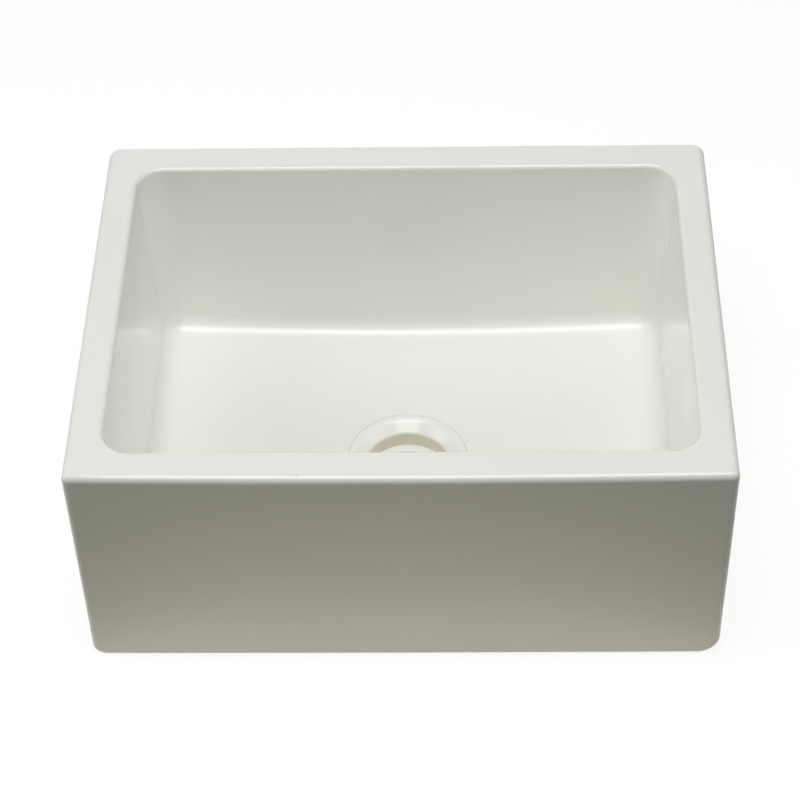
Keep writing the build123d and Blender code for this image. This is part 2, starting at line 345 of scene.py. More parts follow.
def wall_and_blend(rings):
    """The bowl's rolled brim, its drafted walls and their blend into the floor."""
    mouth = bowl_outline(0.0, MOUTH_CORNER)
    lean = (bowl_outline(RIM_Z, FOOT_CORNER) - mouth) / RIM_Z
    inward = plan_ring([-curve for curve in corner_directions()])
    draft = np.arctan(np.sum(lean * inward, 1))

    def on_wall(z):
        z = np.broadcast_to(z, len(mouth))
        return np.column_stack([mouth + lean * (RIM_Z - z)[:, None], z])

    tangent = BOWL_EDGE / np.tan(math.pi / 4 + draft / 2)
    for part in np.linspace(0, 1, ROLL_RINGS):
        turn = math.pi / 2 * (1 - part) + draft * part
        place = mouth + inward * (BOWL_EDGE * np.cos(turn) - tangent)[:, None]
        rings.append(np.column_stack([place, RIM_Z - BOWL_EDGE + BOWL_EDGE * np.sin(turn)]))
    wall_top = rings[-1]

    foot = on_wall(FLOOR_Z)
    for _ in range(3):
        foot = on_wall(floor_height(foot))
    from_axis = foot[:, :2] - np.array([0, AXIS_Y])
    from_axis /= np.linalg.norm(from_axis, axis=1)[:, None]
    tilt = np.arctan(math.tan(FLOOR_FALL) * np.sum(-from_axis * inward, 1))
    opening = math.pi / 2 + draft + tilt
    middle = math.pi / 2 + draft - opening / 2
    span = FLOOR_BLEND / np.sin(opening / 2)
    blend = []
    for part in np.linspace(0, 1, BLEND_RINGS):
        turn = (math.pi + draft) * (1 - part) + (1.5 * math.pi - tilt) * part
        s = span * np.cos(middle) + FLOOR_BLEND * np.cos(turn)
        above = span * np.sin(middle) + FLOOR_BLEND * np.sin(turn) + s * np.tan(tilt)
        place = foot[:, :2] + inward * s[:, None]
        blend.append(np.column_stack([place, floor_height(place) + above]))
    for part in ease(FACE_RINGS)[1:-1]:
        rings.append(wall_top + (blend[0] - wall_top) * part)
    rings.extend(blend)


def circle_ring(angles, radius, z):
    """A ring about the outlet's axis; the radius may change round the turn."""
    level = np.full(len(angles), z)
    return np.column_stack([radius * np.cos(angles), AXIS_Y + radius * np.sin(angles), level])


def build_vessel():
    """The whole casting as one closed skin: out from the outlet under the base, up, over and back in."""
    rings = [shell_ring(0.0)]
    tallest = max(BASE_CORNER_LEFT, BASE_CORNER_RIGHT)
    for part in np.linspace(0, 1, FOOT_RINGS)[1:]:
        rings.append(shell_ring(tallest * part**2))
    wall_end = RIM_Z - RIM_EDGE
    for part in ease(WALL_RINGS)[1:]:
        rings.append(shell_ring(tallest + (wall_end - tallest) * part))
    for turn in np.linspace(0, math.pi / 2, ROLL_RINGS)[1:]:
        ring = shell_ring(wall_end, RIM_EDGE * (1 - math.cos(turn)))
        ring[:, 2] = wall_end + RIM_EDGE * math.sin(turn)
        rings.append(ring)
    rim_outer = rings[-1]
    inner = []
    wall_and_blend(inner)
    for part in ease(RIM_RINGS)[1:-1]:
        rings.append(rim_outer + (inner[0] - rim_outer) * part)
    rings.extend(inner)

    floor_outer = rings[-1]
    angles = np.arctan2(floor_outer[:, 1] - AXIS_Y, floor_outer[:, 0])
    recess_top = circle_ring(angles, RECESS_R + RECESS_EDGE, 0.0)
    for part in ease(FACE_RINGS)[1:]:
        place = floor_outer + (recess_top - floor_outer) * part
        place[:, 2] = floor_height(place)
        rings.append(place)
    edge_z = rings[-1][:, 2].mean() - RECESS_EDGE
    for turn in np.linspace(math.pi / 2, math.pi, EDGE_RINGS)[1:]:
        radius = RECESS_R + RECESS_EDGE + RECESS_EDGE * math.cos(turn)
        rings.append(circle_ring(angles, radius, edge_z + RECESS_EDGE * math.sin(turn)))
    rings.append(circle_ring(angles, RECESS_R, SEAT_Z))
    rings.append(circle_ring(angles, LIP_CENTRE_R, SEAT_Z))
    for turn in np.linspace(math.pi / 2, math.pi, SEAT_RINGS)[1:]:
        radius = LIP_CENTRE_R + SEAT_ROLL * math.cos(turn)
        rings.append(circle_ring(angles, radius, LIP_CENTRE_Z + SEAT_ROLL * math.sin(turn)))
    for radius, z in (
        (OUTLET_R, RELIEF_DEPTH + RELIEF_EDGE),
        (OUTLET_R, RELIEF_DEPTH),
        (OUTLET_R + RELIEF_EDGE, RELIEF_DEPTH),
        (RELIEF_R - RELIEF_EDGE, RELIEF_DEPTH),
        (RELIEF_R, RELIEF_DEPTH - RELIEF_EDGE),
        (RELIEF_R, RELIEF_EDGE),
        (RELIEF_R + RELIEF_EDGE, 0.0),
    ):
        rings.append(circle_ring(angles, radius, z))
    relief_edge = rings[-1]
    for part in ease(BASE_RINGS)[1:-1]:
        rings.append(relief_edge + (rings[0] - relief_edge) * part)

    return mesh_piece("glazed_vessel", np.concatenate(rings), loop_faces(len(rings[0]), len(rings)))


def ripple(vessel):
    """The slight unevenness of fired clay: long, low waves on every wall that shows."""
    mesh = vessel.data
    count = len(mesh.vertices)
    place = np.empty(count * 3)
    normal = np.empty(count * 3)
    mesh.vertices.foreach_get("co", place)
    mesh.vertices.foreach_get("normal", normal)
    place = place.reshape(-1, 3)
    normal = normal.reshape(-1, 3)
    draw = np.random.default_rng(RIPPLE_SEED)
    wave = np.zeros(count)
    for length in RIPPLE_LENGTHS:
        heading = draw.normal(size=3)
        heading *= TAU / (length * MM * np.linalg.norm(heading))
        wave += (np.sin(place @ heading + draw.uniform(0, TAU)) - 1) * length / max(RIPPLE_LENGTHS)
    away = np.hypot(place[:, 0], place[:, 1] - AXIS_Y * MM) / MM
    hold = np.clip((away - RELIEF_R) / RIPPLE_FADE, 0, 1) * np.clip(place[:, 2] / MM / RIPPLE_FADE, 0, 1)
    place += normal * (wave * hold * RIPPLE_HEIGHT * MM)[:, None]
    mesh.vertices.foreach_set("co", place.ravel())
    mesh.update()


# ---- waste: turned pieces, from sections of (radius, height, own rounding) ----
TURN_STEPS = 144
EVEN_TURN = TAU * np.arange(TURN_STEPS) / TURN_STEPS
ARC_STEPS = 5
SUPPORT = 0.5
SUPPORT_SHARE = 0.1
CUT_SHARE = 0.4
SAME = 0.02
LIP_STEPS = 13
LIP_FOOT_STEPS = 11
LIP_SLOPE_STEPS = 5
SEAL_STEPS = 22
THREAD_ROWS = 10
THREAD_FLANK = (1.6, 0.3)
STADIUM_STEPS = 9


def softened(section, rounding):
    """A closed section with its corners rounded and a supporting point beside each rounding."""
    levels = []
    for k, corner in enumerate(section):
        here = np.array(corner[:2], float)
        back = np.array(section[k - 1][:2], float) - here
        ahead = np.array(section[(k + 1) % len(section)][:2], float) - here
        reach_back, reach_ahead = np.linalg.norm(back), np.linalg.norm(ahead)
        back, ahead = back / reach_back, ahead / reach_ahead
        half = math.acos(np.clip(back @ ahead, -1, 1)) / 2
        wanted = corner[2] if len(corner) > 2 else rounding
        if wanted == 0:
            levels.append(tuple(here))
            continue
        room = min(reach_back, reach_ahead)
        cut = min(wanted / math.tan(half), CUT_SHARE * room)
        radius = cut * math.tan(half)
        middle = back + ahead
        centre = here + middle / np.linalg.norm(middle) * radius / math.sin(half)
        start, finish = here + back * cut, here + ahead * cut
        from_angle = math.atan2(*(start - centre)[::-1])
        swing = math.remainder(math.atan2(*(finish - centre)[::-1]) - from_angle, TAU)
        support = min(SUPPORT, SUPPORT_SHARE * room)
        levels.append(tuple(start + back * support))
        for part in np.linspace(0, 1, ARC_STEPS):
            turn = from_angle + swing * part
            levels.append((centre[0] + radius * math.cos(turn), centre[1] + radius * math.sin(turn)))
        levels.append(tuple(finish + ahead * support))
    return levels


def turned(name, levels, angles=EVEN_TURN):
    """A closed skin about the outlet's axis; a level's radius may change round the turn."""
    rings = [circle_ring(angles, radius, z) for radius, z in levels]
    return mesh_piece(name, np.concatenate(rings), loop_faces(len(angles), len(rings)))


def lip_points(depth):
    """The pressed lip at a depth below its face: wide roll, straight slope, tight roll into the throat."""
    slope = LIP_SLOPE
    straight = LIP_ROLL - LIP_TOP_ROLL * math.sin(slope) - LIP_FOOT_ROLL * (1 - math.sin(slope))
    fall = straight * math.tan(slope)
    top_z = FLANGE_TOP - LIP_TOP_ROLL
    foot_r = THROAT_INNER + LIP_FOOT_ROLL
    foot_z = top_z + (LIP_TOP_ROLL - LIP_FOOT_ROLL) * math.cos(slope) - fall
    top = [
        (LIP_CENTRE_R - (LIP_TOP_ROLL - depth) * math.sin(t), top_z + (LIP_TOP_ROLL - depth) * math.cos(t), 0)
        for t in np.linspace(0, slope, LIP_STEPS)
    ]
    foot = [
        (foot_r - (LIP_FOOT_ROLL - depth) * math.sin(t), foot_z + (LIP_FOOT_ROLL - depth) * math.cos(t), 0)
        for t in np.linspace(slope, math.pi / 2, LIP_FOOT_STEPS)
    ]
    start, end = np.array(top[-1]), np.array(foot[0])
    return top + [tuple(start + (end - start) * part) for part in ease(LIP_SLOPE_STEPS)[1:-1]] + foot


def with_thread(levels, radius, low, high):
    """Cut a screw thread into the stretch of a section that runs straight at this radius."""
    steps = int((high - low) / THREAD_PITCH * THREAD_ROWS)
    steep, flat = THREAD_FLANK
    rows = []
    for part in np.linspace(0, 1, steps):
        z = low + (high - low) * part
        fade = min(1.0, (z - low) / THREAD_PITCH, (high - z) / THREAD_PITCH)
        wave = 0.5 - 0.5 * np.cos(TAU * z / THREAD_PITCH - EVEN_TURN)
        rows.append((radius - THREAD_DEPTH * fade * np.clip(steep * wave - flat, 0, 1), z))
    for k in range(len(levels)):
        first, second = levels[k - 1], levels[k]
        if abs(first[0] - radius) < SAME and abs(second[0] - radius) < SAME:
            if min(first[1], second[1]) <= low and max(first[1], second[1]) >= high:
                return levels[:k] + (rows if second[1] > first[1] else rows[::-1]) + levels[k:]
    raise ValueError("no straight stretch for the thread")


def ring_section(inner, outer, low, high):
    """A rectangular section."""
    return [(inner, low), (outer, low), (outer, high), (inner, high)]


def shaped_outside(levels, nominal, split, outline):
    """Give the outer part of a section another outline round the turn."""
    return [(outline - (nominal - r) if r > split else r, z) for r, z in levels]


def make_strainer_body():
    """Rolled flange, throat, ledge, cup and threaded neck in one piece."""
    flange_under = LIP_CENTRE_Z + LIP_ROLL - SHEET
    chamfer_z = BODY_FLOOR + CUP_SHOULDER
    floor_under = BODY_FLOOR - CUP_BOTTOM
    section = [
        (FLANGE_R, flange_under, 0.3),
        (FLANGE_R, FLANGE_TOP, 0.4),
        *lip_points(0.0),
        (THROAT_INNER, LEDGE_Z, 0.5),
        (CUP_R, LEDGE_Z, 0.6),
        (CUP_R, chamfer_z, 2.0),
        (CUP_R - CUP_SHOULDER, BODY_FLOOR, 2.0),
        (NECK_BORE, BODY_FLOOR, 0.8),
        (NECK_BORE, NECK_END, 0.4),
        (NECK_R, NECK_END, 0.4),
        (NECK_R, floor_under, 0.6),
        (THROAT_OUTER - CUP_SHOULDER - CUP_BOTTOM, floor_under, 2.0),
        (THROAT_OUTER, chamfer_z, 2.0),
        *lip_points(SHEET)[::-1],
    ]
    levels = softened(section, 0.5)
    levels = with_thread(levels, THROAT_OUTER, chamfer_z + 2.0, RELIEF_DEPTH + 2.0)
    levels = with_thread(levels, NECK_R, NECK_END + 1.0, floor_under - 1.5)
    return turned("strainer_shell", levels)


def make_flange_seal():
    """The bead of sealant under the flange, down its roll and squeezed up into the gap round its edge."""
    inner, outer = SEAT_ROLL + FIT_GAP, LIP_ROLL - SHEET - FIT_GAP
    low, high = LIP_CENTRE_Z + inner, LIP_CENTRE_Z + outer
    section = [
        (LIP_CENTRE_R + inner * math.cos(turn), LIP_CENTRE_Z + inner * math.sin(turn), 0)
        for turn in np.linspace(SEAL_END, math.pi / 2, SEAL_STEPS)
    ]
    end_r = section[0][0]
    section += [
        (RECESS_R - FILLED_GAP, low, 0.02),
        (RECESS_R - FILLED_GAP, FLANGE_TOP - SQUEEZE_DOWN, 0.05),
        (FLANGE_R + FILLED_GAP, FLANGE_TOP - SQUEEZE_DOWN, 0.05),
        (FLANGE_R + FILLED_GAP, high, 0.02),
    ]
    section += [point for point in lip_points(SHEET + FIT_GAP) if point[0] > end_r]
    return turned("sealant_bead", softened(section, 0.4))


def make_plain_ring(name, node, bore, rounding):
    """A washer that fills its node's height and reach."""
    low, high = heights(node)
    return turned(name, softened(ring_section(bore, reach(node), low, high), rounding))


def make_lock_nut():
    """A cast nut with lugs for a spanner or a punch."""
    low, high = heights("lock_nut")
    steps = np.radians(LUG_STEPS)
    sector = np.concatenate([-steps[:0:-1], steps])
    angles = np.concatenate([TAU * k / NUT_LUGS + sector for k in range(NUT_LUGS)])
    away = np.abs(np.tile(sector, NUT_LUGS))
    ramp = np.clip((LUG_HALF_ANGLE + LUG_RAMP - away) / (2 * LUG_RAMP), 0, 1)
    lug = ramp * ramp * (3 - 2 * ramp)
    outer = reach("lock_nut")
    outline = NUT_BODY_R + (outer - NUT_BODY_R) * lug
    bore = THROAT_OUTER + FIT_GAP
    levels = softened(ring_section(bore, outer, low, high), 0.9)
    levels = shaped_outside(levels, outer, (bore + NUT_BODY_R) / 2, outline)
    return turned("lugged_nut", levels, angles)


def make_tailpiece():
    """Thin plated tube with a flange that the coupling nut draws up."""
    low, high = heights("tailpiece")
    bore, collar = TAIL_R - TAIL_WALL, TAIL_R + TAIL_COLLAR
    nut_low = heights("coupling_nut")[0]
    flange_under = nut_low + COUPLING_LIP
    section = [
        (bore, low, 0.3),
        (TAIL_R, low, 0.4),
        (TAIL_R, nut_low, 0.1),
        (collar, nut_low, 0.1),
        (collar, flange_under, 0.2),
        (NECK_R, flange_under, 0.3),
        (NECK_R, high, 0.3),
        (bore, high, 0.4),
    ]
    return turned("plated_tail", softened(section, 0.3))


def make_coupling_nut():
    """A hexagon nut, turned down to a cone at its top corners."""
    low, high = heights("coupling_nut")
    node_low, node_high = node_box("coupling_nut")
    flat = (node_high[1] - node_low[1]) / 2
    bore, mouth = NECK_R + FIT_GAP, TAIL_R + TAIL_COLLAR + FIT_GAP
    shelf = low + COUPLING_LIP
    section = [
        (mouth, low, 0.4),
        (flat, low, 0.8),
        (flat, high, 0.8),
        (bore, high, 0.5),
        (bore, shelf, 0.3),
        (mouth, shelf, 0.3),
    ]
    off_flat = np.abs(np.remainder(EVEN_TURN, TAU / 6) - TAU / 12)
    corner = flat / math.cos(TAU / 12)
    hexagon = np.minimum(flat / np.cos(off_flat), corner - NUT_CORNER_OFF)

    def coned(radii, z):
        into_cone = max(z - (high - NUT_CONE_HEIGHT), low + NUT_CONE_HEIGHT - z, 0)
        return np.minimum(radii, corner - NUT_CONE_OFF - NUT_CONE_SLOPE * into_cone)

    levels = [
        (coned(hexagon - (flat - r), z), z) if r > (flat + bore) / 2 else (r, z)
        for r, z in softened(section, 0.4)
    ]
    side = next(k for k in range(1, len(levels)) if levels[k][1] - levels[k - 1][1] > NUT_SIDE_LEAST)
    for start, end in ((high - NUT_CONE_TO, high - NUT_CONE_FROM), (low + NUT_CONE_FROM, low + NUT_CONE_TO)):
        levels[side:side] = [(coned(hexagon, z), z) for z in np.linspace(start, end, NUT_CONE_STEPS)]
    return turned("hexagon_nut", levels)


# ---- waste: the basket and what lifts with it ----
BASKET_R = reach("basket_cup")
BASKET_LOW, BASKET_RIM_TOP = heights("basket_cup")
BASKET_MOUTH = BASKET_R - BASKET_RIM
BASKET_FOOT = BASKET_MOUTH - BASKET_TAPER


def ring_of_cuts():
    """A geometry tree that cuts copies of one shape out of a mesh, evenly round the outlet's axis."""
    tree = bpy.data.node_groups.new("ring_of_cuts", "GeometryNodeTree")
    for name, kind in (
        ("Piece", "Geometry"),
        ("Cutter", "Object"),
        ("Count", "Int"),
        ("Radius", "Float"),
        ("Height", "Float"),
        ("Axis Y", "Float"),
        ("Finish", "Material"),
    ):
        tree.interface.new_socket(name, in_out="INPUT", socket_type=f"NodeSocket{kind}")
    tree.interface.new_socket("Cut Piece", in_out="OUTPUT", socket_type="NodeSocketGeometry")

    def node(kind, **settings):
        made = tree.nodes.new(kind)
        for name, setting in settings.items():
            setattr(made, name, setting)
        return made

    given = node("NodeGroupInput")
    points = node("GeometryNodeMeshLine")
    index = node("GeometryNodeInputIndex")
    share = node("ShaderNodeMath", operation="DIVIDE")
    angle = node("ShaderNodeMath", operation="MULTIPLY")
    angle.inputs[1].default_value = TAU
    turn = node("ShaderNodeCombineXYZ")
    out_along = node("ShaderNodeCombineXYZ")
    swung = node("ShaderNodeVectorRotate", rotation_type="Z_AXIS")
    centre = node("ShaderNodeCombineXYZ")
    place = node("ShaderNodeVectorMath", operation="ADD")
    moved = node("GeometryNodeSetPosition")
    cutter = node("GeometryNodeObjectInfo")
    copies = node("GeometryNodeInstanceOnPoints")
    real = node("GeometryNodeRealizeInstances")
    cut = node("GeometryNodeMeshBoolean", operation="DIFFERENCE", solver="EXACT")
    finish = node("GeometryNodeSetMaterial")
    result = node("NodeGroupOutput")
    for source, output, target, socket in (
        (given, "Count", points, "Count"),
        (index, 0, share, 0),
        (given, "Count", share, 1),
        (share, 0, angle, 0),
        (angle, 0, turn, "Z"),
        (given, "Radius", out_along, "X"),
        (out_along, 0, swung, "Vector"),
        (angle, 0, swung, "Angle"),
        (given, "Axis Y", centre, "Y"),
        (given, "Height", centre, "Z"),
        (swung, 0, place, 0),
        (centre, 0, place, 1),
        (points, 0, moved, "Geometry"),
        (place, 0, moved, "Position"),
        (given, "Cutter", cutter, "Object"),
        (moved, 0, copies, "Points"),
        (cutter, "Geometry", copies, "Instance"),
        (turn, 0, copies, "Rotation"),
        (copies, 0, real, 0),
        (given, "Piece", cut, "Mesh 1"),
        (real, 0, cut, "Mesh 2"),
        (cut, "Mesh", finish, "Geometry"),
        (given, "Finish", finish, "Material"),
        (finish, 0, result, 0),
    ):
        tree.links.new(source.outputs[output], target.inputs[socket])
    return tree


def slot_cutter(width, length, depth, lean=0.0):
    """A prism with a stadium outline; it cuts along X and stands along Z, leaning with the wall."""
    points = []
    for x in (-depth / 2, depth / 2):
        for end in (-1, 1):
            for part in np.linspace(0, math.pi, STADIUM_STEPS):
                across = width / 2 * math.cos(part)
                along = (length - width) / 2 + width / 2 * math.sin(part)
                z = end * along
                points.append((x + z * math.tan(lean), end * across, z))
    half = len(points) // 2
    faces = [tuple(range(half)), tuple(range(half, 2 * half))[::-1]]
    faces += [(k, k + half, (k + 1) % half + half, (k + 1) % half) for k in range(half)]
    return mesh_piece("cutter", points, faces)


def apply_modifiers(piece):
    """Replace a piece's mesh by what its modifiers make of it, and remove them."""
    evaluated = piece.evaluated_get(bpy.context.evaluated_depsgraph_get())
    mesh = bpy.data.meshes.new_from_object(evaluated)
    mesh.name = piece.name
    piece.modifiers.clear()
    piece.data = mesh


def keep_cuts_crisp(piece):
    """Smooth shading, with the edges of the cuts left sharp."""
    piece.data.shade_smooth()
    piece.data.set_sharp_from_angle(angle=CRISP_ANGLE)


def cut_round(piece, tree, cutter, count, radius, height, finish):
    """Apply one ring of cuts to a piece."""
    step = piece.modifiers.new("ring_of_cuts", "NODES")
    step.node_group = tree
    wanted = {
        "Cutter": cutter,
        "Count": count,
        "Radius": radius * MM,
        "Height": height * MM,
        "Axis Y": AXIS_Y * MM,
        "Finish": finish,
    }
    for item in tree.interface.items_tree:
        if item.item_type == "SOCKET" and item.name in wanted:
            step[item.identifier] = wanted[item.name]
    apply_modifiers(piece)
    bpy.data.objects.remove(cutter)


def make_basket(finish):
    """Pressed basket: flat rim, slotted tapering wall and a bottom with two rings of holes."""
    bottom_top = BASKET_LOW + BASKET_SHEET
    bush_bore = BUSH_R + FIT_GAP
    section = [
        (BASKET_R, LEDGE_Z, 0.3),
        (BASKET_R, BASKET_RIM_TOP, 0.5),
        (BASKET_MOUTH, BASKET_RIM_TOP, 1.6),
        (BASKET_FOOT, bottom_top, 1.4),
        (bush_bore, bottom_top, 0.2),
        (bush_bore, BASKET_LOW, 0.2),
        (BASKET_FOOT + BASKET_SHEET, BASKET_LOW, 2.4),
        (BASKET_MOUTH + BASKET_SHEET, LEDGE_Z, 0.5),
    ]
    basket = turned("slotted_basket", softened(section, 0.3))
    basket.data.materials.append(finish)
    tree = ring_of_cuts()
    wall_low, wall_high = bottom_top + SLOT_BAND, LEDGE_Z - SLOT_BAND
    lean = math.atan(BASKET_TAPER / (LEDGE_Z - bottom_top))
    slot = slot_cutter(SLOT_WIDTH, wall_high - wall_low, 4 * BASKET_SHEET, lean)
    wall_middle = (BASKET_FOOT + BASKET_MOUTH + BASKET_SHEET) / 2
    cut_round(basket, tree, slot, BASKET_SLOTS, wall_middle, (wall_low + wall_high) / 2, finish)
    for count, radius in (INNER_HOLES, OUTER_HOLES):
        hole = slot_cutter(2 * HOLE_R, 2 * HOLE_R, 4 * BASKET_SHEET)
        hole.data.transform(Matrix.Rotation(math.pi / 2, 4, "Y"))
        cut_round(basket, tree, hole, count, radius, BASKET_LOW + BASKET_SHEET / 2, finish)
    keep_cuts_crisp(basket)
    return basket


def make_bush():
    """The moulded guide that the stem runs in."""
    low, high = heights("stem_bush")
    bottom_top = BASKET_LOW + BASKET_SHEET
    bore = STEM_R + FIT_GAP
    section = [
        (bore, low, 0.3),
        (BUSH_R, low, 0.3),
        (BUSH_R, bottom_top, 0.1),
        (BUSH_R + BUSH_FLANGE, bottom_top, 0.3),
        (BUSH_R + BUSH_FLANGE, high, 0.9),
        (bore, high, 0.5),
    ]
    return turned("guide_bush", softened(section, 0.3))


def make_stem():
    """Turned stem with two detent grooves and a blind hole for the screw."""
    low, high = heights("plunger_stem")
    hole_r, hole_top = SCREW_R + FIT_GAP, heights("stopper_screw")[1] + FIT_GAP
    guide = BASKET_LOW + BASKET_SHEET + BUSH_HEAD / 2
    section = [(hole_r, low, 0.2), (STEM_R, low, 0.4)]
    for middle in (guide - PLUNGER_TRAVEL, guide):
        for r, dz in ((0, -0.5), (DETENT_DEPTH, -0.25), (DETENT_DEPTH, 0.25), (0, 0.5)):
            section.append((STEM_R - r, middle + dz * DETENT_WIDTH, 0.2))
    section += [(STEM_R, high, 0.4), (0, high, 0), (0, hole_top, 0), (hole_r, hole_top, 0.1)]
    return turned("turned_stem", softened(section, 0.3))


def make_knob():
    """Moulded pull knob, a little dished on top."""
    low, high = heights("plunger_knob")
    radius, bore = reach("plunger_knob"), STEM_R + FIT_GAP
    section = [
        (bore, low, 0.3),
        (radius, low, 1.5),
        (radius, high, 3.6),
        (0.4 * radius, high, 3.0),
        (0, high - 0.6, 0),
        (0, STEM_TOP, 0),
        (bore, STEM_TOP, 0.2),
    ]
    return turned("pull_knob", softened(section, 0.3))


def make_screw():
    """Pan head screw with a driver slot."""
    low, high = heights("stopper_screw")
    head = reach("stopper_screw")
    shoulder = low + SCREW_HEAD
    section = [
        (0, low, 0),
        (head, low, 1.5),
        (head, shoulder, 0.2),
        (SCREW_R, shoulder, 0.1),
        (SCREW_R, high, 0.5),
        (0, high, 0),
    ]
    screw = turned("slotted_screw", softened(section, 0.3))
    width, depth = DRIVE_SLOT
    slot = slot_cutter(width, width, 4 * head)
    slot.data.transform(Matrix.Diagonal((1, 1, 2 * depth / width, 1)))
    slot.data.transform(Matrix.Translation((0, AXIS_Y * MM, low * MM)))
    cut = screw.modifiers.new("driver_slot", "BOOLEAN")
    cut.operation = "DIFFERENCE"
    cut.object = slot
    apply_modifiers(screw)
    bpy.data.objects.remove(slot)
    keep_cuts_crisp(screw)
    return screw


# ---- shader maths ----
class Value:
    """A shader socket that adds its own nodes when it is used in an expression."""

    def __init__(self, tree, socket):
        self.tree = tree
        self.socket = socket

    def node(self, kind, settings=None, values=None, links=None, output=0):
        """Add a node: settings first, then socket values, then links; returns one output."""
        made = self.tree.nodes.new(kind)
        for name, setting in (settings or {}).items():
            setattr(made, name, setting)
        for name, value in (values or {}).items():
            made.inputs[name].default_value = value
        for name, link in (links or {}).items():
            self.tree.links.new(link.socket, made.inputs[name])
        return Value(self.tree, made.outputs[output])

    def math(self, operation, other=None, flip=False, clamp=False):
        made = self.tree.nodes.new("ShaderNodeMath")
        made.operation = operation
        made.use_clamp = clamp
        pair = (other, self) if flip else (self, other)
        for place, item in enumerate(pair):
            if isinstance(item, Value):
                self.tree.links.new(item.socket, made.inputs[place])
            elif item is not None:
                made.inputs[place].default_value = item
        return Value(self.tree, made.outputs[0])

    def __add__(self, other):
        return self.math("ADD", other)

    __radd__ = __add__

    def __sub__(self, other):
        return self.math("SUBTRACT", other)

    def __rsub__(self, other):
        return self.math("SUBTRACT", other, flip=True)

    def __mul__(self, other):
        return self.math("MULTIPLY", other)

    __rmul__ = __mul__

    def __truediv__(self, other):
        return self.math("DIVIDE", other)

    def clamped(self):
        return self.math("MULTIPLY", 1.0, clamp=True)

    def mix(self, low, high):
        """Blend two colours, each a tuple or another socket, with this value as the factor."""
        made = self.tree.nodes.new("ShaderNodeMix")
        made.data_type = "RGBA"
        self.tree.links.new(self.socket, made.inputs[0])
        for place, item in ((6, low), (7, high)):
            if isinstance(item, Value):
                self.tree.links.new(item.socket, made.inputs[place])
            else:
                made.inputs[place].default_value = item
        return Value(self.tree, made.outputs[2])


def colour(red, green, blue):
    """A linear colour from display values of 0 to 255."""
    levels = []
    for level in (red, green, blue):
        part = level / 255
        levels.append(part / 12.92 if part <= 0.04045 else ((part + 0.055) / 1.055) ** 2.4)
    return (*levels, 1.0)


def material(name, metallic=0.0):
    """A new material, and the object coordinates that its patterns lie on."""
    made = bpy.data.materials.new(name)
    made.use_nodes = True
    tree = made.node_tree
    tree.nodes["Principled BSDF"].inputs["Metallic"].default_value = metallic
    coordinates = tree.nodes.new("ShaderNodeTexCoord")
    return made, Value(tree, coordinates.outputs["Object"])


def worn(made, look, roughness, normal):
    """Give a material the colour, roughness and normal that change over its surface; returns it."""
    shader = made.node_tree.nodes["Principled BSDF"]
    for name, value in (("Base Color", look), ("Roughness", roughness), ("Normal", normal)):
        made.node_tree.links.new(value.socket, shader.inputs[name])
    return made


def mix_shaders(factor, first, second):
    """Mix two shaders by a number or a link."""
    made = first.tree.nodes.new("ShaderNodeMixShader")
    if isinstance(factor, Value):
        first.tree.links.new(factor.socket, made.inputs[0])
    else:
        made.inputs[0].default_value = factor
    first.tree.links.new(first.socket, made.inputs[1])
    first.tree.links.new(second.socket, made.inputs[2])
    return Value(first.tree, made.outputs[0])


def noise_at(place, scale, detail=3.0, roughness=0.5):
    """Noise over the object's own coordinates, about 0 to 1."""
    return place.node(
        "ShaderNodeTexNoise",
        values={"Scale": scale, "Detail": detail, "Roughness": roughness},
        links={"Vector": place},
    )


def bump(height, distance, strength=1.0):
    """A bump normal from a height."""
    return height.node(
        "ShaderNodeBump", values={"Strength": strength, "Distance": distance}, links={"Height": height}
    )


def stretched(place, across, along):
    """Coordinates about the outlet's axis, scaled apart for marks that run across or along it."""
    return place.node(
        "ShaderNodeMapping",
        values={"Location": (0, -AXIS_Y * MM * across, 0), "Scale": (across, across, along)},
        links={"Vector": place},
    )


def out_from_axis(place):
    """The distance from the outlet's axis, in metres."""
    flat = stretched(place, 1.0, 0.0)
    return flat.node("ShaderNodeVectorMath", {"operation": "LENGTH"}, links={"Vector": flat}, output=1)


def height_of(place):
    """The height of a place above the base, in metres."""
    return place.node("ShaderNodeSeparateXYZ", links={"Vector": place}, output=2)


def step_down(value, edge, width):
    """1 where the value is below the edge, 0 above it, with a ramp between."""
    return ((edge + width / 2 - value) / width).clamped()


def fireclay_glaze():
    """Thick off-white glaze: faint tone drift, specks, orange peel, and bare clay under the base."""
    made, place = material("fireclay_glaze")
    drift = noise_at(place, 7.0, 2.0)
    glaze = drift.mix(colour(244, 245, 239), colour(247, 248, 243))
    freckles = noise_at(place, 210.0, 1.0)
    speck = ((freckles - 0.79) * 30).clamped() * 0.25
    glaze = speck.mix(glaze, colour(176, 168, 150))
    height = height_of(place)
    under = step_down(height, CLAY_TOP * MM, 0.6 * MM)
    recess = step_down(out_from_axis(place), (RELIEF_R + 0.5) * MM, 0.4 * MM)
    recess = recess * step_down(height, (RELIEF_DEPTH + 0.3) * MM, 0.3 * MM)
    bare = (under + recess).clamped()
    grit = noise_at(place, 900.0, 4.0, 0.7)
    clay = grit.mix(colour(196, 186, 167), colour(218, 209, 192))
    smooth = noise_at(place, 60.0, 2.0) * 0.05 + 0.075
    orange_peel = noise_at(place, 140.0, 2.0) * (1 - bare) * 0.15 + grit * bare
    return worn(made, bare.mix(glaze, clay), smooth + bare * 0.7, bump(orange_peel, 0.0001))


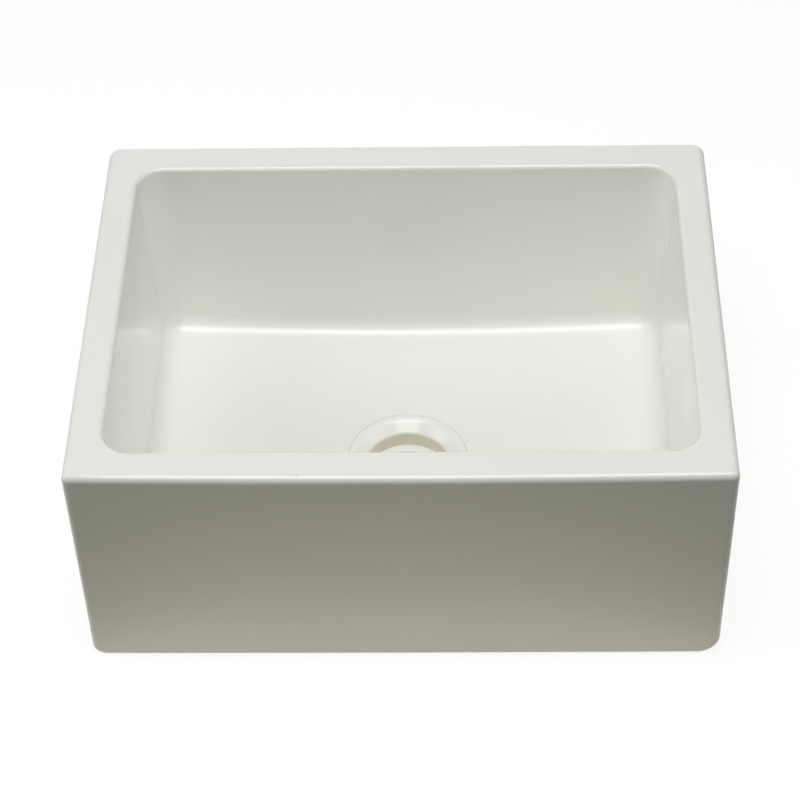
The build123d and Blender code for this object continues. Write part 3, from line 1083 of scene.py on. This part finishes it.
def white_enamel():
    """White enamel on pressed metal; a faint tan of painted shade lies on the throat's wall."""
    made, place = material("white_enamel")
    tone = noise_at(place, 40.0, 2.0)
    enamel = tone.mix(colour(243, 244, 239), colour(247, 248, 244))
    height = height_of(place)
    # painted shade: a faint, mottled tan painted on the throat's wall between the two heights below, where
    # shade falls inside the throat
    inside = step_down(out_from_axis(place), (THROAT_INNER + 0.8) * MM, 0.8 * MM)
    painted_shade = inside * step_down(height, PAINTED_SHADE_TOP * MM, 3.0 * MM)
    painted_shade = painted_shade * (1 - step_down(height, PAINTED_SHADE_FOOT * MM, 0.4 * MM))
    painted_shade = painted_shade * (noise_at(place, 150.0, 3.0) * 0.4 + 0.6)
    sheen = noise_at(place, 130.0, 2.0) * 0.08 + 0.1
    grain = bump(noise_at(place, 420.0, 2.0), 0.00005, 0.35)
    return worn(made, painted_shade.mix(enamel, colour(237, 229, 205)), sheen, grain)


def white_plastic():
    """Glossy moulded plastic with a faint flow mottling."""
    made, place = material("white_plastic")
    tone = noise_at(place, 90.0, 3.0).mix(colour(232, 233, 227), colour(238, 239, 234))
    sheen = noise_at(place, 300.0, 3.0) * 0.12 + 0.2
    return worn(made, tone, sheen, bump(noise_at(place, 900.0, 2.0), 0.00002, 0.3))


def nylon():
    """Natural nylon: milky, matte, with fine moulding grain."""
    made, place = material("natural_nylon")
    tone = noise_at(place, 160.0, 4.0).mix(colour(219, 214, 199), colour(233, 230, 218))
    sheen = noise_at(place, 500.0, 3.0) * 0.2 + 0.4
    return worn(made, tone, sheen, bump(noise_at(place, 1500.0, 3.0), 0.00004, 0.6))


def seal_grey():
    """Set plumber's sealant: grey, matte and a little uneven."""
    made, place = material("seal_grey")
    tone = noise_at(place, 240.0, 5.0, 0.6).mix(colour(184, 183, 178), colour(204, 203, 198))
    sheen = noise_at(place, 350.0, 3.0) * 0.2 + 0.55
    return worn(made, tone, sheen, bump(noise_at(place, 420.0, 4.0), 0.0003, 0.6))


def black_rubber():
    """Black rubber with a grey bloom and a fine grain."""
    made, place = material("black_rubber")
    bloom = (noise_at(place, 70.0, 5.0, 0.6) * 1.6 - 0.4).clamped()
    tone = bloom.mix(colour(33, 33, 34), colour(58, 57, 56))
    return worn(made, tone, bloom * 0.2 + 0.5, bump(noise_at(place, 1400.0, 3.0), 0.00008, 0.7))


def fibre_board():
    """Pressed fibre: tan, matte, with fibres that lie flat."""
    made, place = material("fibre_board")
    fibres = noise_at(stretched(place, 500.0, 2600.0), 1.0, 5.0, 0.7)
    tone = fibres.mix(colour(150, 118, 80), colour(196, 166, 124))
    return worn(made, tone, fibres * 0.15 + 0.75, bump(fibres, 0.0002, 0.7))


def cast_brass():
    """Unplated brass: sand cast grain, with dull brown in the hollows of the tone."""
    made, place = material("cast_brass", metallic=1.0)
    tarnish = (noise_at(place, 60.0, 6.0, 0.65) * 2.2 - 0.75).clamped()
    tone = tarnish.mix(colour(205, 172, 104), colour(150, 116, 64))
    grain = noise_at(place, 1100.0, 4.0, 0.6)
    return worn(made, tone, tarnish * 0.22 + 0.28, bump(grain, 0.0002, 0.55))


def chrome_plate():
    """Bright chrome with a few dull water marks and polishing lines."""
    made, place = material("chrome_plate", metallic=1.0)
    marks = (noise_at(place, 95.0, 4.0, 0.6) * 3.0 - 1.7).clamped()
    tone = marks.mix(colour(226, 228, 231), colour(206, 208, 210))
    polish = noise_at(stretched(place, 60.0, 2400.0), 1.0, 3.0)
    return worn(made, tone, marks * 0.14 + 0.07, bump(polish, 0.00002, 0.5))


def turned_steel():
    """Stainless steel with fine rings left by the lathe."""
    made, place = material("turned_steel", metallic=1.0)
    height = height_of(place)
    along = out_from_axis(place) + height
    rings = along.node("ShaderNodeCombineXYZ", links={"X": along, "Z": height})
    marks = noise_at(rings, 3200.0, 3.0)
    tone = marks.mix(colour(186, 187, 188), colour(212, 212, 211))
    return worn(made, tone, marks * 0.16 + 0.2, bump(marks, 0.00004, 0.6))


# ---- stage, lights and camera ----
FOCAL_PIXELS = 2465.0
FRAME_PIXELS = 800.0
SENSOR_MM = 36.0
CAMERA_TARGET = (-5.5, -5.0, 124.7)
CAMERA_DISTANCE = 2416.0
CAMERA_ELEVATION = math.radians(45.24)
CAMERA_YAW = math.radians(2.06)
CAMERA_ROLL = math.radians(-1.77)


def make_camera():
    """The photograph's viewpoint, fitted to the outline of the rim, apron and base."""
    forward = Vector(
        (
            -math.sin(CAMERA_YAW) * math.cos(CAMERA_ELEVATION),
            math.cos(CAMERA_YAW) * math.cos(CAMERA_ELEVATION),
            -math.sin(CAMERA_ELEVATION),
        )
    )
    level = Vector((math.cos(CAMERA_YAW), math.sin(CAMERA_YAW), 0))
    upward = level.cross(forward)
    right = level * math.cos(CAMERA_ROLL) + upward * math.sin(CAMERA_ROLL)
    up = right.cross(forward)
    place = Vector(CAMERA_TARGET) * MM - forward * CAMERA_DISTANCE * MM
    lens = bpy.data.cameras.new("photo_camera")
    lens.sensor_width = SENSOR_MM
    lens.lens = FOCAL_PIXELS / FRAME_PIXELS * SENSOR_MM
    camera = link_new("photo_camera", lens)
    turn = Matrix((right, up, -forward)).transposed().to_4x4()
    camera.matrix_world = Matrix.Translation(place) @ turn
    bpy.context.scene.camera = camera


def soft_light(name, place, target, size, watts, tint):
    """A rectangular soft light that faces its target."""
    lamp = bpy.data.lights.new(name, "AREA")
    lamp.shape = "RECTANGLE"
    lamp.size, lamp.size_y = size
    lamp.energy = watts
    lamp.color = tint
    light = link_new(name, lamp)
    light.location = place
    light.rotation_euler = (target - place).to_track_quat("-Z", "Y").to_euler()


FLOOR_HALF = 6.0
FLOOR_SIDES = 64
FLOOR_OPENING = RELIEF_R * MM
FLOOR_GLOW = 0.7
GLOW_STRENGTH = 1.21
FLOOR_TINT = (0.92, 0.875, 0.73, 1.0)
FLOOR_FAR_TINT = (0.10, 0.095, 0.005, 1.0)
FLOOR_FADE = (0.36, 0.58)


KINDS_SEEN = ("Camera", "Glossy", "Transmission")


def seen_directly(tree):
    """1 for rays from the lens and for what gloss and glass show, 0 for the light that bounces."""
    paths = tree.nodes.new("ShaderNodeLightPath")
    lens, gloss, glass = (Value(tree, paths.outputs[f"Is {kind} Ray"]) for kind in KINDS_SEEN)
    return lens.math("MAXIMUM", gloss).math("MAXIMUM", glass)


def pale_floor():
    """Near white to the eye, with a soft shadow; its bounce is warm and comes mostly from close by."""
    made = bpy.data.materials.new("pale_floor")
    made.use_nodes = True
    tree = made.node_tree
    tree.nodes.clear()
    coordinates = Value(tree, tree.nodes.new("ShaderNodeTexCoord").outputs["Object"])
    away = coordinates.node(
        "ShaderNodeVectorMath", {"operation": "LENGTH"}, links={"Vector": coordinates}, output=1
    )
    near, far = FLOOR_FADE
    tint = ((away - near) / (far - near)).clamped().mix(FLOOR_TINT, FLOOR_FAR_TINT)
    bounce = tint.node("ShaderNodeBsdfDiffuse", links={"Color": tint})
    matt = coordinates.node("ShaderNodeBsdfDiffuse", values={"Color": (0.8, 0.8, 0.8, 1)})
    glow = coordinates.node("ShaderNodeEmission", values={"Strength": GLOW_STRENGTH})
    look = mix_shaders(FLOOR_GLOW, matt, glow)
    either = mix_shaders(seen_directly(tree), bounce, look)
    ending = tree.nodes.new("ShaderNodeOutputMaterial")
    tree.links.new(either.socket, ending.inputs["Surface"])
    return made


def make_floor():
    """A pale floor level with the base, open under the outlet so that the waste hangs clear of it."""
    sides = FLOOR_SIDES
    round_hole, square_edge = [], []
    for k in range(sides):
        turn = TAU * (k + 0.5) / sides
        x, y = math.cos(turn), math.sin(turn)
        round_hole.append((FLOOR_OPENING * x, FLOOR_OPENING * y + AXIS_Y * MM, 0.0))
        stretch = FLOOR_HALF / max(abs(x), abs(y))
        square_edge.append((stretch * x, stretch * y, 0.0))
    faces = [(k, sides + k, sides + (k + 1) % sides, (k + 1) % sides) for k in range(sides)]
    mesh = bpy.data.meshes.new("floor")
    mesh.from_pydata(round_hole + square_edge, [], faces)
    mesh.materials.append(pale_floor())
    floor = link_new("floor", mesh)


def make_world():
    """White surroundings to the eye and in the gloss; all the light comes from the lamps."""
    world = bpy.data.worlds.new("studio")
    bpy.context.scene.world = world
    world.use_nodes = True
    tree = world.node_tree
    tree.nodes.clear()
    white = tree.nodes.new("ShaderNodeBackground")
    white.inputs["Color"].default_value = (1, 1, 1, 1)
    seen = seen_directly(tree)
    tree.links.new(seen.socket, white.inputs["Strength"])
    ending = tree.nodes.new("ShaderNodeOutputWorld")
    tree.links.new(white.outputs[0], ending.inputs["Surface"])


LAMP_AIM = 0.15
LAMP_DISTANCE = 2.2
WARM = (1.0, 0.99, 0.975)
PLAIN = (1.0, 1.0, 1.0)
CREAM = (1.0, 0.98, 0.78)
LAMPS = {
    "key_softbox": (15, 270, (1.25, 1.35), 22.1, WARM),
    "overhead_softbox": (0, 0, (1.2, 1.2), 6.5, PLAIN),
    "left_softbox": (61, 180, (1.3, 2.0), 15.0, PLAIN),
    "right_softbox": (47, 0, (1.3, 2.0), 7.9, PLAIN),
    "back_softbox": (65, 90, (1.2, 1.2), 2.2, PLAIN),
    "front_softbox": (62, 270, (1.3, 1.3), 0.8, CREAM),
}

scene = bpy.context.scene
scene.view_settings.view_transform = "Standard"
make_camera()
make_world()
make_floor()
for name, (tilt, side, size, watts, tint) in LAMPS.items():
    aim = Vector((0, 0, LAMP_AIM))
    tilt, side = math.radians(tilt), math.radians(side)
    away = Vector((math.sin(tilt) * math.cos(side), math.sin(tilt) * math.sin(side), math.cos(tilt)))
    soft_light(name, aim + away * LAMP_DISTANCE, aim, size, watts, tint)

finishes = {
    "fireclay": fireclay_glaze(),
    "white_enamel": white_enamel(),
    "white_plastic": white_plastic(),
    "nylon": nylon(),
    "seal_grey": seal_grey(),
    "rubber_black": black_rubber(),
    "fibre": fibre_board(),
    "brass": cast_brass(),
    "chrome": chrome_plate(),
    "steel": turned_steel(),
}


def dress(piece, node, slot, body):
    """Give a piece its finish, its body and the node that it stands for."""
    if not piece.data.materials:
        piece.data.materials.append(finishes[slot])
    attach(piece, body)
    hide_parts(node)


vessel = build_vessel()
ripple(vessel)
dress(vessel, "sink_vessel", "fireclay", "sink")

ring_bore = THROAT_OUTER + RING_GAP
rubber_ring = make_plain_ring("rubber_ring", "rubber_washer", ring_bore, 0.6)
slip_ring = make_plain_ring("slip_ring", "friction_ring", ring_bore, 0.2)
tail_ring = make_plain_ring("tail_ring", "tailpiece_washer", TAIL_R + TAIL_COLLAR, 0.3)
dress(make_strainer_body(), "strainer_body", "white_enamel", "sink")
dress(make_flange_seal(), "flange_seal", "seal_grey", "sink")
dress(rubber_ring, "rubber_washer", "rubber_black", "sink")
dress(slip_ring, "friction_ring", "fibre", "sink")
dress(make_lock_nut(), "lock_nut", "brass", "sink")
dress(tail_ring, "tailpiece_washer", "nylon", "sink")
dress(make_tailpiece(), "tailpiece", "chrome", "sink")
dress(make_coupling_nut(), "coupling_nut", "chrome", "sink")

dress(make_basket(finishes["white_enamel"]), "basket_cup", "white_enamel", "basket")
dress(make_bush(), "stem_bush", "nylon", "basket")

screw_bore = SCREW_R + FIT_GAP
plate = make_plain_ring("backing_plate", "stopper_plate", screw_bore, 0.3)
seal = make_plain_ring("rubber_stopper", "stopper_seal", screw_bore, 1.2)
dress(make_stem(), "plunger_stem", "steel", "plunger")
dress(make_knob(), "plunger_knob", "white_plastic", "plunger")
dress(plate, "stopper_plate", "steel", "plunger")
dress(seal, "stopper_seal", "rubber_black", "plunger")
dress(make_screw(), "stopper_screw", "steel", "plunger")
